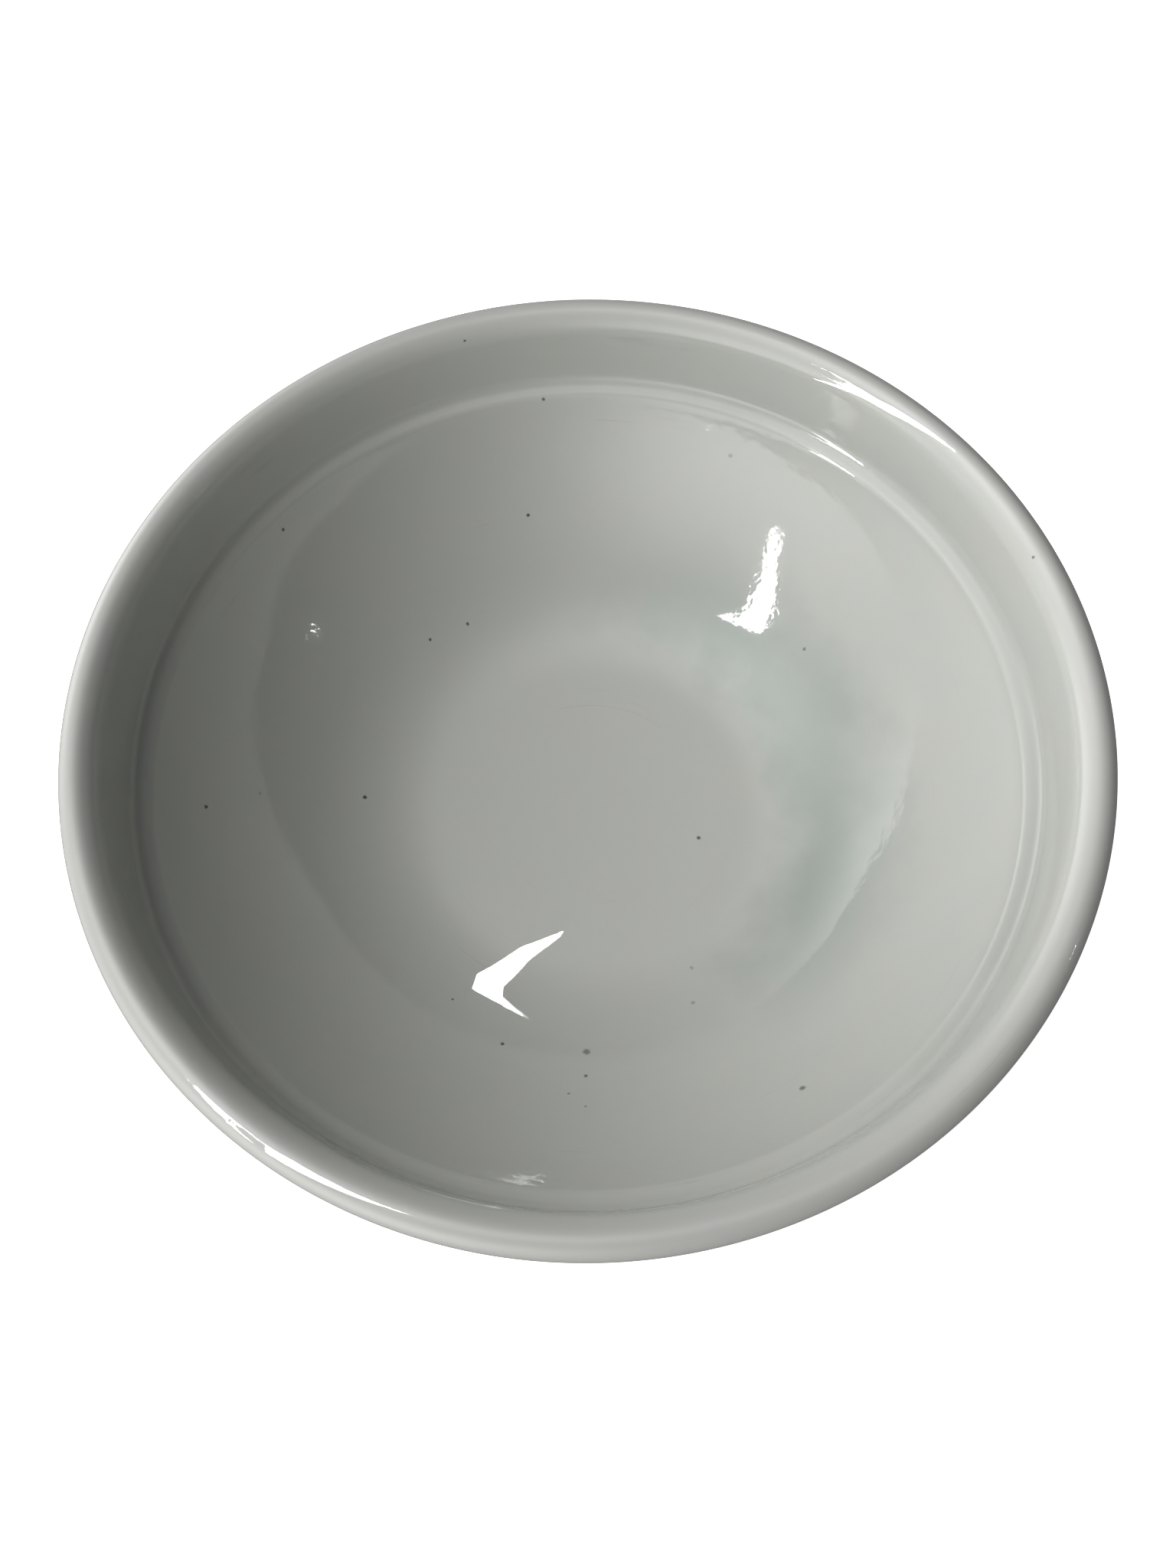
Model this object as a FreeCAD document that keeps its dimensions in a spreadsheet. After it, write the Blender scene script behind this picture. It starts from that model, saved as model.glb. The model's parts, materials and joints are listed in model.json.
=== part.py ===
import FreeCAD, Part
import math
import os
import Sketcher
from FreeCAD import Vector

# A shaving bowl in thick white porcelain. Millimetres, +Z up. The origin is the centre of the foot
# ring on the plane that the bowl stands on, and Z is the axis that the bowl was turned about.
#
# Three solids: the fired clay, the glaze over its inside, lip and outside, and the glaze in the
# recess under its base. The foot ring between the two glazes is bare clay. Each profile is a run
# of lines and tangent arcs. An arc has two sizes, its radius and the angle that it turns through,
# and most lines take their length from where the arcs have to end. A glaze surface and the clay
# under it turn through the same angles about the same centres, so the two are parallel.

SIZES = {
    # Whole bowl
    "rim_radius": 70.0,
    "full_height": 50.0,
    "glaze_thick": 0.3,
    # Inside: a flat well, with a soft bend up into a wall that is one large arc
    "floor_height": 9.5,
    "well_round": 10.0,
    "well_turn": 30.0,
    "wall_round": 65.0,
    "wall_turn": 32.0,
    # Small ledge between the wall and the steep collar above it
    "ledge_edge_round": 1.4,
    "ledge_edge_turn": 42.0,
    "ledge_width": 0.8,
    "ledge_hollow_round": 2.0,
    "ledge_hollow_turn": 64.0,
    # Lip: a broad bend at the top of the collar, then a full round
    "lip_inside_round": 3.8,
    "lip_inside_turn": 54.0,
    "lip_round": 2.4,
    "lip_turn": 139.5,
    # Outside: one large arc from the lip to the foot
    "outside_round": 84.0,
    "outside_turn": 37.0,
    # Foot ring, a little narrower at the ground, and the recess inside it
    "foot_hollow_round": 2.0,
    "foot_hollow_turn": 48.5,
    "foot_edge_round": 0.6,
    "foot_edge_turn": 82.0,
    "glaze_line_height": 1.3,
    "recess_hollow_round": 1.6,
    "recess_hollow_turn": 82.0,
    "recess_hollow_radius": 30.2,
    "recess_height": 4.0,
}

# How far a profile lies below the glaze's surface
AT_GLAZE = "0"
AT_CLAY = "Sizes.glaze_thick"

# Ends of a sketch's piece, and the sketch's own axes
START, END, CENTRE = 1, 2, 3
LEVEL_AXIS, UPRIGHT_AXIS = -1, -2

LEFT, RIGHT = 1, -1

doc = FreeCAD.newDocument("shaving_bowl")


def make_sizes():
    sheet = doc.addObject("Spreadsheet::Sheet", "Sizes")
    for row, (alias, value) in enumerate(SIZES.items(), start=1):
        sheet.set("A%d" % row, alias)
        sheet.set("B%d" % row, str(value))
        sheet.setAlias("B%d" % row, alias)
    doc.recompute()


def set_size(sketch, kind, where, expression):
    """One dimension of a sketch, bound to the sheet."""
    value = sketch.evalExpression(expression)
    if kind == "Angle":
        value = math.radians(value)
    index = sketch.addConstraint(Sketcher.Constraint(kind, *where, value))
    sketch.setExpression("Constraints[%d]" % index, expression)


class Run:
    """Lines and arcs in one sketch, drawn one after another, each tangent to the one before.

    The material lies on the run's right. The lengths of lines are a rough start, unless the line
    gets a size of its own, and the constraints on what comes after put them right.
    """

    def __init__(self, sketch, start, heading, skin):
        self.sketch = sketch
        self.here = Vector(*start, 0)
        self.heading = math.radians(heading)
        self.skin = skin
        self.first = None
        self.last = None

    def ahead(self, angle=0):
        """The direction of travel, or one at an angle to its left."""
        return Vector(math.cos(self.heading + angle), math.sin(self.heading + angle), 0)

    def add(self, shape, near, far):
        piece = self.sketch.addGeometry(shape, False)
        if self.last:
            self.sketch.addConstraint(Sketcher.Constraint("Tangent", *self.last, piece, near))
        self.first = self.first or (piece, near)
        self.last = (piece, far)
        return piece

    def line(self, length):
        before = self.here
        self.here = before + self.ahead() * length
        return self.add(Part.LineSegment(before, self.here), START, END)

    def arc(self, name, turn, skin=None):
        """An arc with the sizes name_round and name_turn. A sketch keeps every arc anticlockwise."""
        side = "+" if turn == LEFT else "-"
        radius_size = "Sizes.%s_round %s %s" % (name, side, skin or self.skin)
        turn_size = "Sizes.%s_turn" % name
        radius = self.sketch.evalExpression(radius_size)
        sweep = math.radians(self.sketch.evalExpression(turn_size))
        centre = self.here + self.ahead(turn * math.pi / 2) * radius
        first_angle = self.heading - turn * math.pi / 2
        self.heading += turn * sweep
        last_angle = self.heading - turn * math.pi / 2
        self.here = centre - self.ahead(turn * math.pi / 2) * radius
        circle = Part.Circle(centre, Vector(0, 0, 1), radius)
        if turn == LEFT:
            piece = self.add(Part.ArcOfCircle(circle, first_angle, last_angle), START, END)
        else:
            piece = self.add(Part.ArcOfCircle(circle, last_angle, first_angle), END, START)
        set_size(self.sketch, "Radius", (piece,), radius_size)
        set_size(self.sketch, "Angle", (piece,), turn_size)
        return piece


def close_run(sketch, one_end, other_end):
    """A straight piece between two open ends."""
    closing = sketch.addGeometry(Part.LineSegment(sketch.getPoint(*one_end), sketch.getPoint(*other_end)))
    sketch.addConstraint(Sketcher.Constraint("Coincident", *one_end, closing, START))
    sketch.addConstraint(Sketcher.Constraint("Coincident", closing, END, *other_end))


def draw_glazed_side(sketch, skin):
    """From the axis on the well's floor, up the inside, over the lip and down to the foot."""
    run = Run(sketch, (0, SIZES["floor_height"]), 0, skin)
    floor = run.line(31)
    run.arc("well", LEFT)
    run.arc("wall", LEFT)
    run.arc("ledge_edge", RIGHT)
    ledge = run.line(SIZES["ledge_width"])
    run.arc("ledge_hollow", LEFT)
    run.line(8.5)
    run.arc("lip_inside", RIGHT)
    lip = run.arc("lip", RIGHT)
    run.arc("outside", RIGHT)
    run.arc("foot_hollow", LEFT)
    run.line(2.4)
    sketch.addConstraint(Sketcher.Constraint("PointOnObject", floor, START, UPRIGHT_AXIS))
    sketch.addConstraint(Sketcher.Constraint("Horizontal", floor))
    set_size(sketch, "DistanceY", (floor, START), "Sizes.floor_height - %s" % skin)
    set_size(sketch, "Distance", (ledge,), "Sizes.ledge_width")
    set_size(sketch, "DistanceX", (lip, CENTRE), "Sizes.rim_radius - Sizes.lip_round")
    set_size(sketch, "DistanceY", (lip, CENTRE), "Sizes.full_height - Sizes.lip_round")
    return run


def draw_bare_foot(run):
    """The unglazed foot ring: its two rounded edges and the flat that the bowl stands on."""
    run.arc("foot_edge", RIGHT, AT_GLAZE)
    rest = run.line(2.2)
    run.arc("foot_edge", RIGHT, AT_GLAZE)
    run.sketch.addConstraint(Sketcher.Constraint("PointOnObject", rest, START, LEVEL_AXIS))


def draw_base_side(run):
    """From the inner side of the foot ring, up and in across the recess to the axis."""
    sketch = run.sketch
    inner_face = run.line(1.5)
    hollow = run.arc("recess_hollow", LEFT)
    recess = run.line(30)
    set_size(sketch, "DistanceX", (hollow, CENTRE), "Sizes.recess_hollow_radius")
    set_size(sketch, "DistanceY", (recess, END), "Sizes.recess_height + %s" % run.skin)
    sketch.addConstraint(Sketcher.Constraint("PointOnObject", recess, END, UPRIGHT_AXIS))
    return inner_face


def new_body(name):
    """A body with an empty profile sketch on its own XZ plane."""
    body = doc.addObject("PartDesign::Body", name)
    body.Label = name
    sketch = body.newObject("Sketcher::SketchObject", name + "_profile")
    plane = next(f for f in body.Origin.OriginFeatures if f.Role == "XZ_Plane")
    sketch.AttachmentSupport = (plane, [""])
    sketch.MapMode = "FlatFace"
    return body, sketch


def turn_profile(body, sketch):
    """The profile turned once about the bowl's axis."""
    turned = body.newObject("PartDesign::Revolution", body.Name + "_turned")
    turned.Profile = (sketch, [""])
    turned.ReferenceAxis = (sketch, ["V_Axis"])
    turned.Angle = 360
    body.Tip = turned
    body.Placement = FreeCAD.Placement()
    doc.recompute()
    return body


def make_porcelain_body():
    body, sketch = new_body("porcelain_body")
    run = draw_glazed_side(sketch, AT_CLAY)
    draw_bare_foot(run)
    draw_base_side(run)
    close_run(sketch, run.last, run.first)
    return turn_profile(body, sketch)


def make_glaze_coat():
    body, sketch = new_body("glaze_coat")
    surface = draw_glazed_side(sketch, AT_GLAZE)
    under = draw_glazed_side(sketch, AT_CLAY)
    for run in (surface, under):
        set_size(sketch, "DistanceY", run.last, "Sizes.glaze_line_height")
    close_run(sketch, surface.first, under.first)
    close_run(sketch, surface.last, under.last)
    return turn_profile(body, sketch)


def make_base_glaze():
    body, sketch = new_body("base_glaze")
    inner_edge = SIZES["recess_hollow_radius"] + SIZES["recess_hollow_round"]
    runs = []
    for skin in (AT_GLAZE, AT_CLAY):
        run = Run(sketch, (inner_edge, SIZES["glaze_line_height"]), 180 - SIZES["foot_edge_turn"], skin)
        inner_face = draw_base_side(run)
        set_size(sketch, "Angle", (inner_face,), "180 - Sizes.foot_edge_turn")
        set_size(sketch, "DistanceY", run.first, "Sizes.glaze_line_height")
        runs.append(run)
    close_run(sketch, runs[0].first, runs[1].first)
    close_run(sketch, runs[0].last, runs[1].last)
    return turn_profile(body, sketch)


def check_document():
    for thing in doc.Objects:
        if "Invalid" in thing.State or "Error" in thing.State:
            raise RuntimeError("%s failed: %s" % (thing.Name, thing.State))


def write_parts(parts):
    os.makedirs("parts", exist_ok=True)
    for part in parts:
        if part.Shape.isNull() or not part.Shape.isValid():
            raise RuntimeError("%s has no valid shape" % part.Label)
        if len(part.Shape.Solids) != 1:
            raise RuntimeError("%s isn't one solid" % part.Label)
        part.Shape.exportStep("parts/%s.step" % part.Label)


make_sizes()
bowl_parts = [make_porcelain_body(), make_glaze_coat(), make_base_glaze()]
check_document()
write_parts(bowl_parts)
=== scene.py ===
"""The looks of a white porcelain shaving bowl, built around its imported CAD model.

Blender works in metres. Sizes here are in millimetres where they describe the bowl, as in the CAD
model, and MM turns them into metres.
"""

import json
import math

import bpy
from mathutils import Matrix, Vector, noise


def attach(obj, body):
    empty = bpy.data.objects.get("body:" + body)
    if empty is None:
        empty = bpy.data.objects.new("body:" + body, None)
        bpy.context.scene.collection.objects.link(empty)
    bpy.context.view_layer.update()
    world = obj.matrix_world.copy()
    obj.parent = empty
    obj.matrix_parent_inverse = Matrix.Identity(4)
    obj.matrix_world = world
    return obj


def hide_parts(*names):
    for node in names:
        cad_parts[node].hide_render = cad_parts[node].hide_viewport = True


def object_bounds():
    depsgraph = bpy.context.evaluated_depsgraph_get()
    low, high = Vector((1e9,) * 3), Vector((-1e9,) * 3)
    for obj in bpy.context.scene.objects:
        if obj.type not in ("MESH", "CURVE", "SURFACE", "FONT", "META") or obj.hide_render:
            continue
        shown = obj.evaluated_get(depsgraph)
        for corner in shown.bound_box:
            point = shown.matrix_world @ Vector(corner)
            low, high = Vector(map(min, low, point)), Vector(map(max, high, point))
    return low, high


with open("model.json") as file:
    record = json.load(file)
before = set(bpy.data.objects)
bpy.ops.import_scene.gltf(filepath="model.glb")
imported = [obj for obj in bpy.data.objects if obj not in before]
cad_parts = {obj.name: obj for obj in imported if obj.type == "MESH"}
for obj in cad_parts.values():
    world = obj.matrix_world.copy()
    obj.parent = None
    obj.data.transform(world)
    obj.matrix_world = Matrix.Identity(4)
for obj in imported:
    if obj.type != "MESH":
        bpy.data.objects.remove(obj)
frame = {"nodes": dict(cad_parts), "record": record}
cad_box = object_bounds()

MM = 0.001

# ---------------------------------------------------------------- sizes of the bowl, as in the CAD
RIM_RADIUS = cad_box[1].x / MM
FULL_HEIGHT = cad_box[1].z / MM
GLAZE_THICK = 0.3
well_floor = next(mount for mount in frame["record"]["mounts"] if mount["name"] == "well_floor")
FLOOR_HEIGHT = well_floor["pos_m"][2] / MM

# Each arc of the profile: its radius, and the angle that it turns through, left being positive
WELL = (10.0, 30.0)
WALL = (65.0, 32.0)
LEDGE_EDGE = (1.4, -42.0)
LEDGE = 0.8
LEDGE_HOLLOW = (2.0, 64.0)
LIP_INSIDE = (3.8, -54.0)
LIP = (2.4, -139.5)
OUTSIDE = (84.0, -37.0)
FOOT_HOLLOW = (2.0, 48.5)
RECESS_HOLLOW = (1.6, 82.0)
GLAZE_END = (GLAZE_THICK, -90.0)

GLAZE_LINE = 1.3
FOOT_LEAN = 8.0
RECESS_HEIGHT = 4.0
RECESS_HOLLOW_RADIUS = 30.2

# Glaze has run together in the well's bend, so its surface there is a larger arc than in the CAD
POOL_ROUND = 30.0


def direction(azimuth, elevation):
    """Unit vector: azimuth anticlockwise from +X seen from above, elevation up from level."""
    a, e = math.radians(azimuth), math.radians(elevation)
    return Vector((math.cos(e) * math.cos(a), math.cos(e) * math.sin(a), math.sin(e)))


class Outline:
    """One side of a profile, drawn as straight runs and tangent arcs, each starting where the last
    one ended. Material lies on its right, and skin is how far it runs below the glaze's surface."""

    def __init__(self, x, z, heading, skin, fineness):
        self.x, self.z = x, z
        self.heading = math.radians(heading)
        self.skin = skin
        self.fineness = fineness
        self.points = []
        self.mark()

    def normal(self):
        return -math.sin(self.heading), math.cos(self.heading)

    def mark(self):
        self.points.append((self.x, self.z, *self.normal()))

    def line(self, length, pitch=1.6):
        """A straight run, in steps about pitch long."""
        steps = max(1, round(length / pitch / self.fineness))
        for _ in range(steps):
            self.x += math.cos(self.heading) * length / steps
            self.z += math.sin(self.heading) * length / steps
            self.mark()

    def arc(self, shape, pitch=0.9, most=7.0):
        """Returns the arc's centre. The steps are pitch long, or turn by most degrees if shorter."""
        radius, turn = shape
        side = math.copysign(1, turn)
        radius += side * self.skin
        length = radius * math.radians(abs(turn))
        steps = math.ceil(max(length / pitch, abs(turn) / most) / self.fineness)
        across = self.normal()
        centre = (self.x + side * radius * across[0], self.z + side * radius * across[1])
        for _ in range(steps):
            self.heading += math.radians(turn) / steps
            across = self.normal()
            self.x = centre[0] - side * radius * across[0]
            self.z = centre[1] - side * radius * across[1]
            self.mark()
        return centre


def fit_pool():
    """How far before the well's own bend the pooled glaze's arc starts, and the angle it turns
    through to lie tangent to the wall."""
    bend = math.radians(WELL[1])
    reach, pool_reach = WALL[0] - WELL[0], WALL[0] - POOL_ROUND
    turn = math.acos((WELL[0] + reach * math.cos(bend) - POOL_ROUND) / pool_reach)
    early = reach * math.sin(bend) - pool_reach * math.sin(turn)
    return early, math.degrees(turn)


def draw_inside(flat, collar, skin, fineness):
    """From the axis, across the flat well and up the inside to the outer side of the lip. The
    surface, where skin is 0, has the pooled glaze's bend in place of the well's own."""
    side = Outline(0, FLOOR_HEIGHT - skin, 0, skin, fineness)
    if skin == 0:
        early, turn = fit_pool()
        side.line(flat - early)
        side.arc((POOL_ROUND, turn))
        side.arc((WALL[0], WELL[1] + WALL[1] - turn))
    else:
        side.line(flat)
        side.arc(WELL)
        side.arc(WALL)
    side.arc(LEDGE_EDGE)
    side.line(LEDGE)
    side.arc(LEDGE_HOLLOW)
    side.line(collar)
    side.arc(LIP_INSIDE)
    lip_centre = side.arc(LIP)
    return side, lip_centre


def fit_inside():
    """The lengths of the well's flat and of the collar that bring the lip to its place."""
    collar_angle = math.radians(WELL[1] + WALL[1] + LEDGE_EDGE[1] + LEDGE_HOLLOW[1])
    _, lip_centre = draw_inside(0, 0, 0, 1)
    collar = (FULL_HEIGHT - LIP[0] - lip_centre[1]) / math.sin(collar_angle)
    flat = RIM_RADIUS - LIP[0] - lip_centre[0] - collar * math.cos(collar_angle)
    return flat, collar


def draw_glazed_side(skin, fineness):
    """The inside, the lip, and the outside down to where the glaze ends above the foot."""
    side, _ = draw_inside(*fit_inside(), skin, fineness)
    side.arc(OUTSIDE, pitch=1.3)
    side.arc(FOOT_HOLLOW)
    down = (side.z - GLAZE_LINE) / -math.sin(side.heading)
    side.line(down - GLAZE_THICK, pitch=0.4)
    if skin == 0:
        side.arc(GLAZE_END)
    return side.points


def draw_base_side(skin, fineness):
    """From where the glaze starts on the foot's inner face, up and in across the recess."""
    lean = math.radians(FOOT_LEAN)
    radius, turn = RECESS_HOLLOW
    top_z = RECESS_HEIGHT - radius + (radius + skin) * math.sin(lean)
    top_x = RECESS_HOLLOW_RADIUS + (radius + skin) * math.cos(lean)
    up = (top_z - GLAZE_LINE) / math.cos(lean)
    foot_x, foot_z = top_x + up * math.sin(lean), GLAZE_LINE
    if skin == 0:
        foot_x += GLAZE_THICK * math.cos(lean)
        foot_z += GLAZE_THICK * math.sin(lean)
        side = Outline(foot_x, foot_z, 180 + FOOT_LEAN, skin, fineness)
        side.arc(GLAZE_END)
    else:
        foot_x -= GLAZE_THICK * math.sin(lean)
        foot_z += GLAZE_THICK * math.cos(lean)
        side = Outline(foot_x, foot_z, 90 + FOOT_LEAN, skin, fineness)
    side.line(up - GLAZE_THICK, pitch=0.4)
    side.arc((radius, turn))
    side.line(side.x)
    return side.points


def height_inside(radius):
    """Height of the inside surface at a distance from the axis."""
    side, _ = draw_inside(*fit_inside(), 0, 1)
    for near, far in zip(side.points, side.points[1:]):
        if near[0] <= radius <= far[0]:
            return near[1] + (far[1] - near[1]) * (radius - near[0]) / (far[0] - near[0])
    return FULL_HEIGHT


# ---------------------------------------------------------------- lathe

SEGMENTS = 360

# The glaze's unevenness: sizes along the surface, and heights, in millimetres
SLOW_WAVE, SLOW_HEIGHT = 26.0, 0.035
ROUND_WAVE, ROUND_RISE, ROUND_HEIGHT = 19.0, 5.5, 0.012
RING_SPACE, RING_HEIGHT = 1.15, 0.0018

# How far the glaze's edge on the foot wanders, and how far up the foot it moves with it
CREEP_SLOW_WAVE, CREEP_SLOW = 13.0, 0.32
CREEP_QUICK_WAVE, CREEP_QUICK = 2.6, 0.11
CREEP_REACH = 1.3


def waviness(x, y, z):
    """How far the glaze's surface stands off its true place, in millimetres: slow waves, some of
    them longer round the bowl than up it, and the faint rings of the clay's forming."""
    radius = math.hypot(x, y)
    across = math.hypot(radius, z * 1.3)
    slow = noise.noise(Vector((x, y, z * 1.4)) / SLOW_WAVE)
    around = noise.noise(Vector((x / ROUND_WAVE, y / ROUND_WAVE, across / ROUND_RISE)))
    rings = math.sin(across / RING_SPACE + 2.0 * slow) * 0.35 + math.sin(across / (2 * RING_SPACE))
    return SLOW_HEIGHT * slow + ROUND_HEIGHT * around + RING_HEIGHT * rings


def creep(x, y, z):
    """How far the glaze's edge on the foot runs above or below its line, in millimetres."""
    near_edge = max(0.0, min(1.0, (GLAZE_LINE + CREEP_REACH - z) / CREEP_REACH))
    slow = noise.noise(Vector((x / CREEP_SLOW_WAVE, y / CREEP_SLOW_WAVE, 4.0)))
    quick = noise.noise(Vector((x / CREEP_QUICK_WAVE, y / CREEP_QUICK_WAVE, 9.0)))
    return near_edge * (CREEP_SLOW * slow + CREEP_QUICK * quick)


def lathe(name, top, under, lean):
    """A closed shell between two outlines that run the same way, turned about the Z axis. Lean is
    how far the foot's face moves out from the axis for each millimetre up."""
    loop = [(point, 1.0) for point in top] + [(point, 0.0) for point in reversed(under)]
    verts, faces, rings = [], [], []
    for (px, pz, nx, nz), amount in loop:
        if px < 1e-6:
            rings.append([len(verts)] * SEGMENTS)
            verts.append((0, 0, (pz + nz * amount * waviness(0, 0, pz)) * MM))
            continue
        rings.append(list(range(len(verts), len(verts) + SEGMENTS)))
        for step in range(SEGMENTS):
            angle = 2 * math.pi * step / SEGMENTS
            c, s = math.cos(angle), math.sin(angle)
            lift = amount * waviness(px * c, px * s, pz)
            up = creep(px * c, px * s, pz)
            r = px + nx * lift + up * lean
            verts.append((r * c * MM, r * s * MM, (pz + nz * lift + up) * MM))
    for a, b in zip(rings, rings[1:] + rings[:1]):
        if a[0] == a[1] and b[0] == b[1]:
            continue
        for step in range(SEGMENTS):
            after = (step + 1) % SEGMENTS
            corners = [a[step], a[after], b[after], b[step]]
            faces.append(list(dict.fromkeys(corners)))
    mesh = bpy.data.meshes.new(name)
    mesh.from_pydata(verts, [], faces)
    mesh.validate()
    mesh.update()
    mesh.shade_smooth()
    piece = bpy.data.objects.new(name, mesh)
    bpy.context.scene.collection.objects.link(piece)
    return piece


TOP_FINENESS, UNDER_FINENESS = 1, 3


def make_glaze(name, node, draw, lean):
    """A glaze layer's own surface, in place of the CAD's plain one."""
    layer = lathe(name, draw(0, TOP_FINENESS), draw(GLAZE_THICK, UNDER_FINENESS), lean)
    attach(layer, "root")
    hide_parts(node)
    return layer


# ---------------------------------------------------------------- materials


class Nodes:
    """A node tree written as calls: every input is a number, a colour, or another node's output."""

    def __init__(self, tree):
        self.tree = tree
        tree.nodes.clear()

    def add(self, kind, inputs=(), **settings):
        node = self.tree.nodes.new(kind)
        for key, value in settings.items():
            setattr(node, key, value)
        for key, value in dict(inputs).items():
            if isinstance(value, bpy.types.NodeSocket):
                self.tree.links.new(value, node.inputs[key])
            else:
                node.inputs[key].default_value = value
        return node

    def math(self, operation, a, b, c=0.0):
        return self.add("ShaderNodeMath", {0: a, 1: b, 2: c}, operation=operation).outputs[0]

    def vector(self, operation, a, b, c=(0, 0, 0)):
        return self.add("ShaderNodeVectorMath", {0: a, 1: b, 2: c}, operation=operation).outputs[0]

    def noise(self, where, size, detail=2.0, roughness=0.5):
        """Fractal noise from 0 to 1, with lumps about size across."""
        found = self.add(
            "ShaderNodeTexNoise",
            {"Vector": where, "Scale": 1 / size, "Detail": detail, "Roughness": roughness},
        )
        return found.outputs["Fac"]

    def ramp(self, value, low, high, to_low=0.0, to_high=1.0):
        """A smooth step from to_low, where the value is low, to to_high, where it is high."""
        ranged = self.add(
            "ShaderNodeMapRange",
            {"Value": value, "From Min": low, "From Max": high, "To Min": to_low, "To Max": to_high},
            interpolation_type="SMOOTHSTEP",
        )
        return ranged.outputs["Result"]

    def blend(self, amount, first, second):
        inputs = {0: amount, 6: first, 7: second}
        return self.add("ShaderNodeMix", inputs, data_type="RGBA").outputs[2]


def start_material(name):
    """A new material's nodes, and the position on the piece in millimetres."""
    material = bpy.data.materials.new(name)
    material.use_nodes = True
    nodes = Nodes(material.node_tree)
    place = nodes.add("ShaderNodeTexCoord").outputs["Object"]
    millimetres = nodes.vector("MULTIPLY", place, (1 / MM, 1 / MM, 1 / MM))
    return material, nodes, millimetres


def finish_material(nodes, sockets):
    shader = nodes.add("ShaderNodeBsdfPrincipled", sockets)
    nodes.add("ShaderNodeOutputMaterial", {"Surface": shader.outputs[0]})


WHITE_COOL = (0.680, 0.692, 0.664, 1)
WHITE_WARM = (0.688, 0.692, 0.660, 1)
# The thick glaze's blue-green, darker than the body. In the well's bend that darkness is partly
# painted shade
CELADON_AND_SHADE = (0.525, 0.572, 0.535, 1)
# Painted shade: the grey laid in the ledge's hollow
PAINTED_SHADE_GREY = (0.565, 0.578, 0.550, 1)
THIN_GLAZE = (0.700, 0.695, 0.680, 1)
MARK_GREY = (0.40, 0.40, 0.38, 1)
SPECK_BROWN = (0.055, 0.048, 0.040, 1)
CLAY_LIGHT = (0.70, 0.68, 0.63, 1)
CLAY_WARM = (0.66, 0.62, 0.55, 1)
CLAY_GRIT = (0.42, 0.38, 0.33, 1)
RUBBED_GREY = (0.30, 0.29, 0.28, 1)
PEEL_HEIGHT = 0.022
PIT_DEPTH = 0.05
IOR = 1.5
POLISH = (0.035, 0.075)
CLAY_ROUGHNESS = 0.72

# Where the glaze is thick or thin, and where painted shade lies, in millimetres. A ring starts, peaks
# and ends at its three radii.
# The well's bend on the +X side: a real blue-green tint, darkened partly with painted shade
BEND_TINT_AND_SHADE_RING = (27.0, 37.0, 52.0)
TINT_AND_SHADE_AZIMUTH = 12
# The ledge's hollow, where painted shade lies on the +X side
LEDGE_RING = (60.0, 62.6, 64.4)
FOOT_TINT = (3.2, 6.5)
THIN_BELOW_TOP = (1.6, 0.2)

# Iron specks in the glaze: angle, distance from the axis and radius in millimetres, and strength
SPECKS = (
    (105, 65, 0.2, 0.8),
    (95, 61, 0.3, 0.9),
    (100, 50, 0.3, 1.0),
    (140, 60, 0.3, 0.9),
    (120, 39, 0.3, 0.9),
    (130, 40, 0.3, 0.9),
    (185, 56, 0.35, 1.0),
    (175, 36, 0.35, 1.0),
    (345, 18, 0.35, 0.9),
    (35, 44, 0.3, 0.6),
    (18, 66, 0.25, 0.8),
    (250, 40, 0.3, 0.9),
    (268, 39, 0.6, 0.6),
    (268, 43, 0.3, 0.8),
    (265, 46, 0.25, 0.6),
    (268, 48, 0.2, 0.6),
    (235, 37, 0.25, 0.7),
    (300, 55, 0.5, 0.7),
    (180, 50, 0.25, 0.3),
    (65, 58, 0.4, 0.3),
    (300, 30, 0.3, 0.35),
    (295, 35, 0.35, 0.35),
)

# How far the noise that makes the specks ragged moves their edges, in millimetres
SPECK_SHIFT = 0.36


def on_inside(angle, radius):
    """The point of the inside surface at an angle and a distance from the axis, in millimetres."""
    a = math.radians(angle)
    return radius * math.cos(a), radius * math.sin(a), height_inside(radius)


def add_specks(nodes, place):
    """From 0 to 1: how dark the glaze is with specks, each with a ragged soft edge."""
    lumps = nodes.add("ShaderNodeTexNoise", {"Vector": place, "Scale": 2.4, "Detail": 2.0})
    shifted = nodes.vector("MULTIPLY_ADD", lumps.outputs["Color"], (SPECK_SHIFT,) * 3, place)
    centred = nodes.vector("SUBTRACT", shifted, (SPECK_SHIFT / 2,) * 3)
    darkest = 0.0
    for angle, radius, size, strength in SPECKS:
        gap = nodes.add(
            "ShaderNodeVectorMath", {0: centred, 1: on_inside(angle, radius)}, operation="DISTANCE"
        ).outputs["Value"]
        spot = nodes.ramp(gap, size * 0.4, size * 1.25, strength, 0.0)
        darkest = nodes.math("MAXIMUM", darkest, spot)
    return darkest


def ring_mask(nodes, distance, inner, peak, outer):
    """1 on a ring round the axis, falling softly to 0 at its inner and outer radius."""
    rise = nodes.ramp(distance, inner, peak)
    fall = nodes.ramp(distance, peak, outer, 1.0, 0.0)
    return nodes.math("MULTIPLY", rise, fall)


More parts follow.
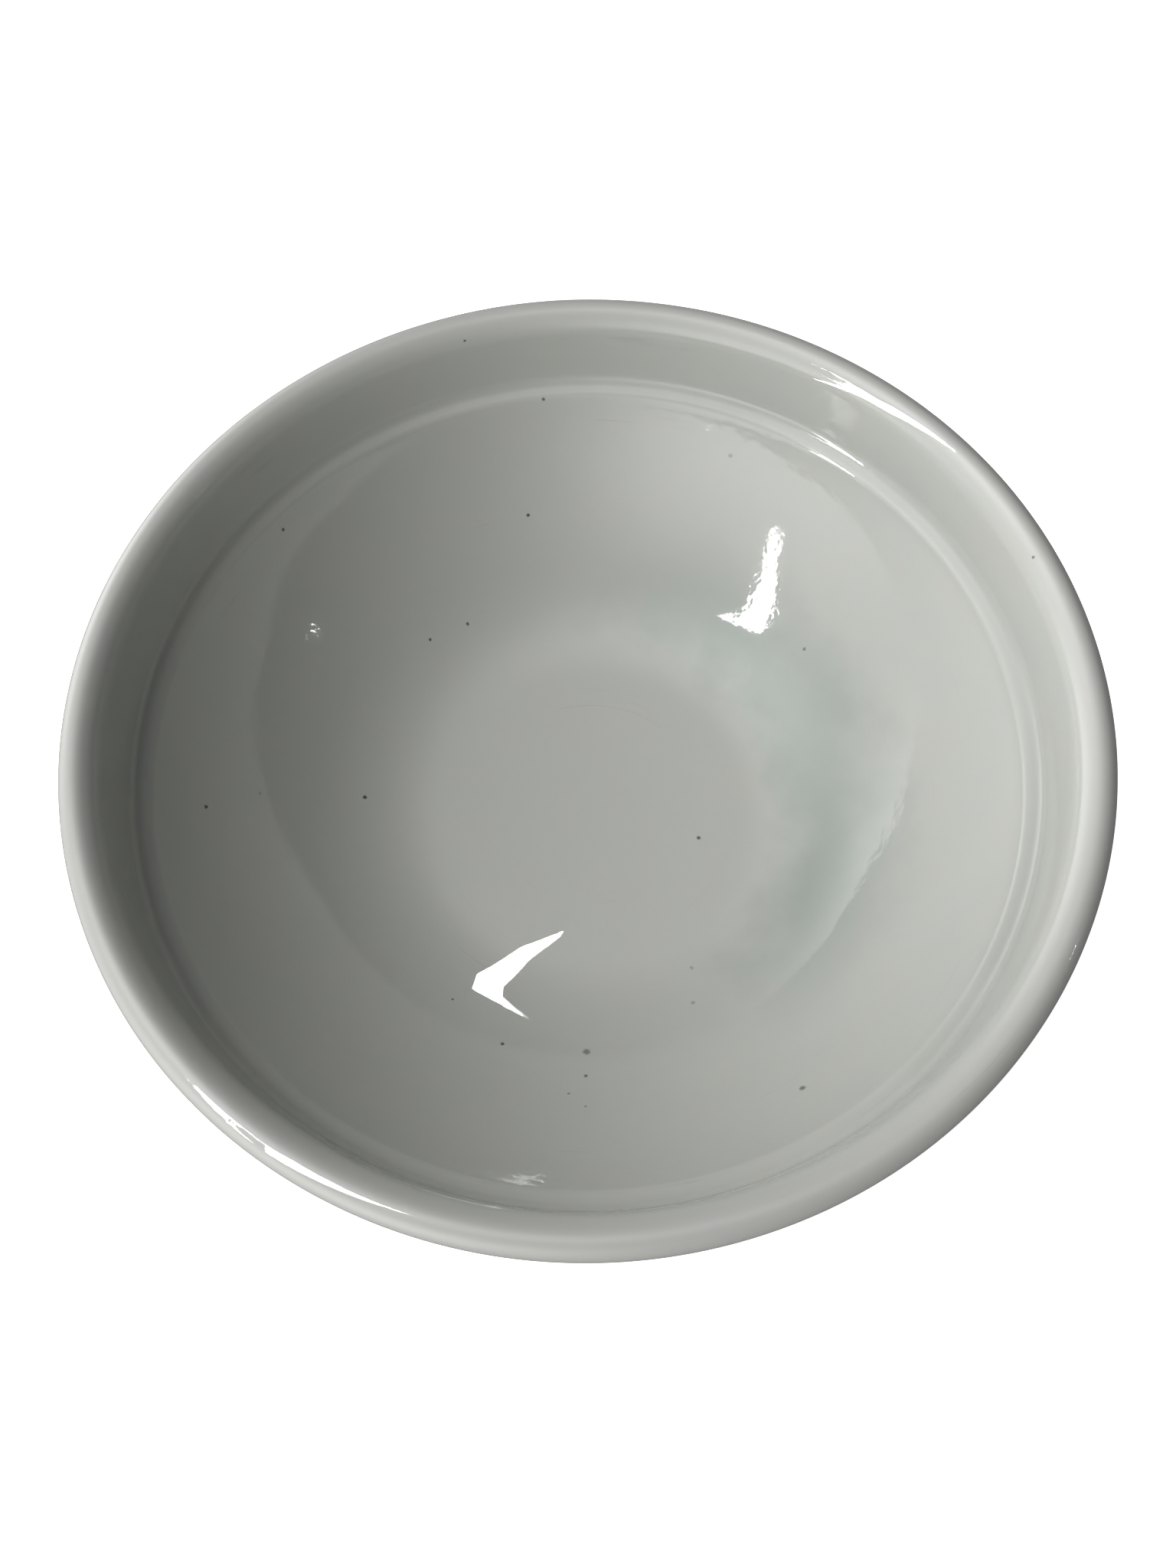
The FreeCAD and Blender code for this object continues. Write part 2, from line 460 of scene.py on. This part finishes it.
def make_glaze_material():
    material, nodes, place = start_material("porcelain_glaze")
    flat_place = nodes.vector("MULTIPLY", place, (1, 1, 0))
    distance = nodes.add("ShaderNodeVectorMath", {0: flat_place}, operation="LENGTH").outputs["Value"]
    height = nodes.add("ShaderNodeSeparateXYZ", {0: place}).outputs["Z"]

    # Thick glaze is darker. It is faintly blue-green where it has run together, in the well's bend
    # on the +X side and low down on the foot and the base. In the well's bend the darkening is partly
    # painted shade, and the grey in the ledge's hollow on the +X side is painted shade.
    uneven = nodes.math("SUBTRACT", nodes.noise(place, 9.0, 3.0), 0.5)
    wander = nodes.math("MULTIPLY_ADD", uneven, 9.0, distance)
    bend = ring_mask(nodes, wander, *BEND_TINT_AND_SHADE_RING)
    tint_and_shade_side = direction(TINT_AND_SHADE_AZIMUTH, 0)
    along = nodes.add("ShaderNodeVectorMath", {0: place, 1: tint_and_shade_side}, operation="DOT_PRODUCT")
    facing = nodes.math("DIVIDE", along.outputs["Value"], nodes.math("MAXIMUM", distance, 1.0))
    # 1 on the +X side, where the bend's tint and the painted shade lie
    side = nodes.ramp(nodes.math("MULTIPLY_ADD", uneven, 0.5, facing), 0.15, 0.95)
    # The bend's tint. Its darkness there is partly painted shade
    run = nodes.math("MULTIPLY", bend, nodes.math("MULTIPLY_ADD", side, 0.92, 0.06))
    ledge = ring_mask(nodes, distance, *LEDGE_RING)
    # Painted shade in the ledge's hollow, mostly on the +X side
    ledge_painted_shade = nodes.math("MULTIPLY", ledge, nodes.math("MULTIPLY_ADD", side, 0.9, 0.04))
    low = nodes.ramp(height, *FOOT_TINT, 0.35, 0.0)
    # The bend's tint with its painted shade, or the foot's thick glaze
    pooled = nodes.math("MAXIMUM", run, low)

    mottle = nodes.noise(place, 11.0, 4.0, 0.6)
    body = nodes.blend(nodes.ramp(mottle, 0.3, 0.7), WHITE_COOL, WHITE_WARM)
    # The body colour with the tint, the bend's painted shade and the ledge's painted shade laid on it
    tinted_and_shaded = nodes.blend(ledge_painted_shade, nodes.blend(pooled, body, CELADON_AND_SHADE), PAINTED_SHADE_GREY)

    # Glaze drawn thin on the lip shows the warmer body under it
    thin = nodes.ramp(height, *(FULL_HEIGHT - depth for depth in THIN_BELOW_TOP))
    worn = nodes.blend(nodes.math("MULTIPLY", thin, 0.5), tinted_and_shaded, THIN_GLAZE)

    # Fine grey marks left by the brush and by metal, in arcs round the well and up the wall
    around = nodes.vector("MULTIPLY", place, (0.03, 0.03, 0.0))
    lanes = nodes.add("ShaderNodeCombineXYZ", {2: nodes.math("MULTIPLY", distance, 2.6)}).outputs[0]
    streaks = nodes.noise(nodes.vector("ADD", around, lanes), 1.0, 3.0, 0.7)
    used = nodes.ramp(nodes.noise(place, 13.0, 2.0), 0.5, 0.68)
    marks = nodes.math("MULTIPLY", nodes.ramp(streaks, 0.62, 0.74), used)
    marked = nodes.blend(nodes.math("MULTIPLY", marks, 0.18), worn, MARK_GREY)
    specks = add_specks(nodes, place)
    colour = nodes.blend(nodes.math("MULTIPLY", specks, 0.82), marked, SPECK_BROWN)

    # The polish is uneven, and duller where it is marked
    haze = nodes.noise(place, 6.0, 3.0, 0.6)
    roughness = nodes.ramp(haze, 0.3, 0.75, *POLISH)
    roughness = nodes.math("MULTIPLY_ADD", marks, 0.10, roughness)
    roughness = nodes.math("MULTIPLY_ADD", specks, 0.15, roughness)

    # Orange peel in the glaze's surface, and a slower ripple
    peel = nodes.noise(place, 1.5, 2.0, 0.45)
    flattened = nodes.vector("MULTIPLY", place, (0.5, 0.5, 1.0))
    ripple = nodes.noise(nodes.vector("ADD", flattened, (3, 7, 1)), 5.5, 1.0)
    relief = nodes.math("MULTIPLY_ADD", ripple, 1.5, peel)
    relief = nodes.math("MULTIPLY_ADD", specks, -0.8, relief)
    peeled = {"Strength": 1.0, "Distance": PEEL_HEIGHT * MM, "Height": relief}
    bump = nodes.add("ShaderNodeBump", peeled)
    finish_material(nodes, {
        "Base Color": colour,
        "Roughness": roughness,
        "IOR": IOR,
        "Normal": bump.outputs[0],
    })
    return material


def make_clay_material():
    """Vitrified porcelain without glaze: dry, faintly gritty, grey where the foot has rubbed."""
    material, nodes, place = start_material("bare_clay")
    height = nodes.add("ShaderNodeSeparateXYZ", {0: place}).outputs["Z"]
    tone = nodes.blend(nodes.ramp(nodes.noise(place, 7.0, 4.0), 0.3, 0.7), CLAY_LIGHT, CLAY_WARM)
    grit = nodes.noise(place, 0.35, 3.0, 0.6)
    dotted = nodes.blend(nodes.ramp(grit, 0.66, 0.76, 0.0, 0.5), tone, CLAY_GRIT)
    rest = nodes.ramp(height, 0.05, 0.35, 1.0, 0.0)
    patches = nodes.ramp(nodes.noise(place, 3.0, 4.0, 0.65), 0.42, 0.66)
    rubbed = nodes.math("MULTIPLY", rest, nodes.math("MULTIPLY_ADD", patches, 0.45, 0.12))
    colour = nodes.blend(rubbed, dotted, RUBBED_GREY)
    pits = nodes.add("ShaderNodeTexVoronoi", {"Vector": place, "Scale": 0.9}).outputs["Distance"]
    pitted = nodes.ramp(pits, 0.05, 0.16)
    relief = nodes.math("MULTIPLY_ADD", grit, 0.35, pitted)
    bitten = {"Strength": 1.0, "Distance": PIT_DEPTH * MM, "Height": relief}
    bump = nodes.add("ShaderNodeBump", bitten)
    finish_material(nodes, {
        "Base Color": colour,
        "Roughness": nodes.math("MULTIPLY_ADD", rubbed, -0.25, CLAY_ROUGHNESS),
        "IOR": IOR,
        "Normal": bump.outputs[0],
    })
    return material


def dress(piece, material):
    piece.data.materials.clear()
    piece.data.materials.append(material)


# ---------------------------------------------------------------- stage, light and camera


# The camera: almost overhead and close in front of the bowl, turned a little about its own line of
# sight. Lengths are in metres, and the lens and the sensor in millimetres.
CAMERA_TARGET = (0, 0, 0.0217)
CAMERA_AZIMUTH, CAMERA_ELEVATION = -90, 66.78
CAMERA_DISTANCE = 0.1983
CAMERA_ROLL = -1.67
CAMERA_LENS, CAMERA_SENSOR = 39.84, 36


def set_camera():
    back = direction(CAMERA_AZIMUTH, CAMERA_ELEVATION)
    roll = math.radians(CAMERA_ROLL)
    data = bpy.data.cameras.new("camera")
    data.sensor_fit = "HORIZONTAL"
    data.sensor_width = CAMERA_SENSOR
    data.lens = CAMERA_LENS
    data.clip_start = 0.01
    camera = bpy.data.objects.new("camera", data)
    bpy.context.scene.collection.objects.link(camera)
    level = Vector((1, 0, 0))
    upright = back.cross(level)
    right = math.cos(roll) * level + math.sin(roll) * upright
    up = back.cross(right)
    turned = Matrix((right, up, back)).transposed().to_4x4()
    place = Vector(CAMERA_TARGET) + back * CAMERA_DISTANCE
    camera.matrix_world = Matrix.Translation(place) @ turned
    bpy.context.scene.camera = camera


def make_panel(name, corners, faces, strength, towards):
    """A lit panel, corners in millimetres, that only shows as a reflection. It shines from the side
    that faces the given point."""
    mesh = bpy.data.meshes.new(name)
    mesh.from_pydata([Vector(corner) * MM for corner in corners], [], faces)
    away = mesh.polygons[0].normal.dot(Vector(towards) * MM - mesh.polygons[0].center) < 0
    if away:
        mesh.flip_normals()
    panel = bpy.data.objects.new(name, mesh)
    bpy.context.scene.collection.objects.link(panel)
    material = bpy.data.materials.new(name)
    material.use_nodes = True
    nodes = Nodes(material.node_tree)
    back = nodes.add("ShaderNodeNewGeometry").outputs["Backfacing"]
    glow = nodes.add("ShaderNodeEmission", {"Strength": strength})
    clear = nodes.add("ShaderNodeBsdfTransparent")
    sided = nodes.add("ShaderNodeMixShader", {0: back, 1: glow.outputs[0], 2: clear.outputs[0]})
    nodes.add("ShaderNodeOutputMaterial", {"Surface": sided.outputs[0]})
    dress(panel, material)
    panel.visible_camera = False
    panel.visible_diffuse = False
    panel.visible_shadow = False


FAR = 450
CARD_LIGHT = 30
CARD_STEP = 2  # degrees along the lip


def make_far_panel(name, place, directions, strength):
    """A panel far off, whose corners a point of the bowl sees in the given directions."""
    corners = [Vector(place) + FAR * direction(*way) for way in directions]
    make_panel(name, corners, [range(len(corners))], strength, place)


def make_card(name, one_edge, other_edge, strength, towards):
    """A strip of card between two edges, close over the glaze."""
    count = len(one_edge)
    faces = [(i, i + 1, count + i + 1, count + i) for i in range(count - 1)]
    make_panel(name, one_edge + other_edge, faces, strength, towards)


def make_lip_card(name, stations, strength, towards):
    """A card that follows the lip. Each station along it is an azimuth, then the radius and the
    height of its inner edge, and the same of its outer edge."""
    inner_edge, outer_edge = [], []
    for near, far in zip(stations, stations[1:]):
        steps = round(abs(far[0] - near[0]) / CARD_STEP)
        for step in range(steps + 1):
            azimuth, *edges = (a + (b - a) * step / steps for a, b in zip(near, far))
            for edge, radius, height in ((inner_edge, *edges[:2]), (outer_edge, *edges[2:])):
                edge.append(direction(azimuth, 0) * radius + Vector((0, 0, height)))
    make_card(name, inner_edge, outer_edge, strength, towards)


# Soft lights in the sky: azimuth, elevation, narrowness and strength
SOFT_LIGHTS = (
    (140, 12, 12, 2.8),
    (215, 12, 14, 1.5),
    (250, 20, 12, 1.6),
    (240, 5, 18, 0.85),
    (240, -15, 12, 0.5),
    (180, 60, 12, 2.95),
    (150, 80, 14, 1.1),
)
AMBIENT = 0.02
FLOOR_BOUNCE = 0.35
WHITE = (1, 1, 1, 1)
PALE = (0.9, 0.9, 0.9, 1)
FLOOR_SIZE = 3
FLOOR_GLOW = 0.72


def make_world():
    """A dim sky with soft lights in it, which the camera sees as plain white."""
    world = bpy.data.worlds.new("studio")
    bpy.context.scene.world = world
    world.use_nodes = True
    nodes = Nodes(world.node_tree)
    way = nodes.add("ShaderNodeTexCoord").outputs["Generated"]
    height = nodes.add("ShaderNodeSeparateXYZ", {0: way}).outputs["Z"]
    total = nodes.ramp(height, 0.05, -0.15, AMBIENT, FLOOR_BOUNCE)
    for azimuth, elevation, spread, strength in SOFT_LIGHTS:
        facing = nodes.add(
            "ShaderNodeVectorMath", {0: way, 1: direction(azimuth, elevation)}, operation="DOT_PRODUCT"
        )
        near = nodes.math("MAXIMUM", facing.outputs["Value"], 0.0)
        lobe = nodes.math("MULTIPLY", nodes.math("POWER", near, spread), strength)
        total = nodes.math("ADD", total, lobe)
    light = nodes.add("ShaderNodeBackground", {"Color": WHITE, "Strength": total})
    seen = nodes.add("ShaderNodeBackground", {"Color": WHITE, "Strength": 1.0})
    from_camera = nodes.add("ShaderNodeLightPath").outputs["Is Camera Ray"]
    shown = nodes.add("ShaderNodeMixShader", {0: from_camera, 1: light.outputs[0], 2: seen.outputs[0]})
    nodes.add("ShaderNodeOutputWorld", {"Surface": shown.outputs[0]})


def make_floor():
    """A pale floor, clear from below so that the foot can be looked at."""
    bpy.ops.mesh.primitive_plane_add(size=FLOOR_SIZE, location=(0, 0, 0))
    floor = bpy.context.object
    floor.name = "floor"
    material = bpy.data.materials.new("pale_floor")
    material.use_nodes = True
    nodes = Nodes(material.node_tree)
    pale = nodes.add("ShaderNodeBsdfPrincipled", {
        "Base Color": PALE,
        "Roughness": 0.8,
        "Emission Color": WHITE,
        "Emission Strength": FLOOR_GLOW,
    })
    back = nodes.add("ShaderNodeNewGeometry").outputs["Backfacing"]
    clear = nodes.add("ShaderNodeBsdfTransparent")
    sided = nodes.add("ShaderNodeMixShader", {0: back, 1: pale.outputs[0], 2: clear.outputs[0]})
    nodes.add("ShaderNodeOutputMaterial", {"Surface": sided.outputs[0]})
    dress(floor, material)
    floor.visible_diffuse = False
    floor.visible_glossy = False


glaze = make_glaze_material()
clay = make_clay_material()
lean = math.tan(math.radians(FOOT_LEAN))
dress(make_glaze("glaze_skin", "glaze_coat", draw_glazed_side, lean), glaze)
dress(make_glaze("base_skin", "base_glaze", draw_base_side, -lean), glaze)
dress(frame["nodes"]["porcelain_body"], clay)

set_camera()
make_world()
make_floor()

# A bent window and a small lamp far off, as azimuths and elevations
WINDOW = (
    (220, 26), (218, 25), (213, 32), (207, 39), (204, 48), (216, 55), (212, 48), (213, 42), (216, 34),
)
make_far_panel("window", (29, 34, 16), WINDOW, 28)
LAMP_AZIMUTH, LAMP_ELEVATION, LAMP_HALF = 349, 24, 0.6
LAMP = [
    (LAMP_AZIMUTH + across * LAMP_HALF, LAMP_ELEVATION + up * LAMP_HALF)
    for across, up in ((-1, -1), (1, -1), (1, 1), (-1, 1))
]
make_far_panel("lamp", (-30, 10, 10), LAMP, 40)

# Lit cards a few millimetres off the glaze: a bent one over the well, and two along the lip
WELL_CARD_HEIGHT = FLOOR_HEIGHT + 3
OUTER_BEND = ((-4.5, -18.5), (-11.5, -21), (-17.5, -24.5), (-18, -27), (-9.5, -32))
INNER_BEND = ((-5, -19.5), (-10, -23), (-13.5, -26.5), (-13.5, -28), (-10, -32))
make_card(
    "well_card",
    [(x, y, WELL_CARD_HEIGHT) for x, y in OUTER_BEND],
    [(x, y, WELL_CARD_HEIGHT) for x, y in INNER_BEND],
    CARD_LIGHT,
    (-15, -25, 0),
)
make_lip_card(
    "near_lip_card",
    ((235, 69.5, 52.5, 73.5, 52.5), (238, 68.5, 52.5, 73, 53.5), (251, 68.5, 53, 69, 56)),
    CARD_LIGHT,
    (-36, -58, 45),
)
make_lip_card(
    "far_lip_card",
    (
        (57, 62, 47.5, 62, 47.3),
        (50, 63.5, 51, 62.5, 49.5),
        (46, 64.5, 51.5, 63, 50),
        (36, 66, 52.5, 65.5, 52.3),
    ),
    CARD_LIGHT,
    (50, 50, 45),
)

VIEW_GAMMA = 0.75
view = bpy.context.scene.view_settings
view.view_transform = "Standard"
view.look = "None"
view.gamma = VIEW_GAMMA
